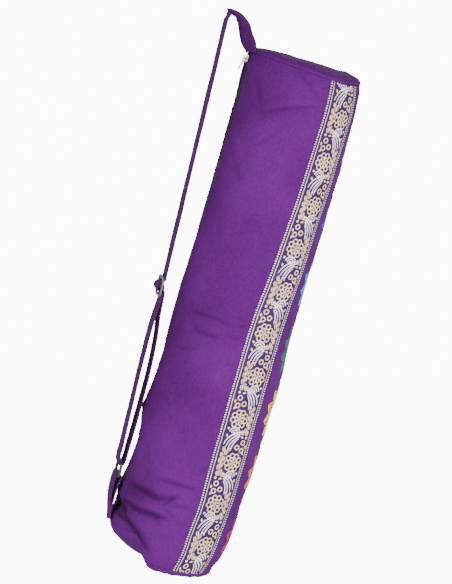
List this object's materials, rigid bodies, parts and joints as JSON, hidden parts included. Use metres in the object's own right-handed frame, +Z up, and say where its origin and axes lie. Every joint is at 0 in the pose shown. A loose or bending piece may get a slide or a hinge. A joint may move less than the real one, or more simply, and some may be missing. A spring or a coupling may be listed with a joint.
{
  "type": "yoga mat bag",
  "caption": "Round zipped cotton bag for a rolled exercise mat, with brocade ribbons, an embroidered strip and an adjustable shoulder strap.",
  "frame": {"origin": "underside of the shoulder strap's crest, where the strap is hung up", "axes": "+Z up, -Y towards the side with the brocade ribbon, the zip and the strap on the -X side; the bag hangs leaning in the XZ plane"},
  "size_m": [0.3554, 0.1726, 0.792],
  "materials": {
    "cloth": "plain-woven purple cotton",
    "strap_cloth": "doubled and stitched purple cotton",
    "brocade": "woven ribbon with a raised pale gold floral pattern on violet",
    "zip_tape": "black woven tape",
    "zip_teeth": "black coil",
    "zip_metal": "plated, slightly warm",
    "grey_plastic": "moulded, half-matt",
    "black_plastic": "moulded, half-matt"
  },
  "bodies": {
    "bag": {"near_panel": "cloth", "front_strip": "cloth", "far_panel": "cloth", "top_cap": "cloth", "bottom_cap": "cloth", "ribbon_near": "brocade", "ribbon_far": "brocade", "zip_tape": "zip_tape", "zip_teeth": "zip_teeth", "zip_slider": "zip_metal", "shoulder_strap": "strap_cloth", "bottom_tab": "strap_cloth", "strap_adjuster": "grey_plastic", "strap_ring": "black_plastic"},
    "zip_pull": {"zip_pull": "zip_metal"}
  },
  "joints": [
    {"name": "zip_pull_swing", "type": "hinge", "parent": "bag", "child": "zip_pull", "pos_m": [0.02035, -0.02769, -0.06364], "axis": [-0.2999, 0.9499, 0.0877], "range_deg": [0, 110]}
  ]
}
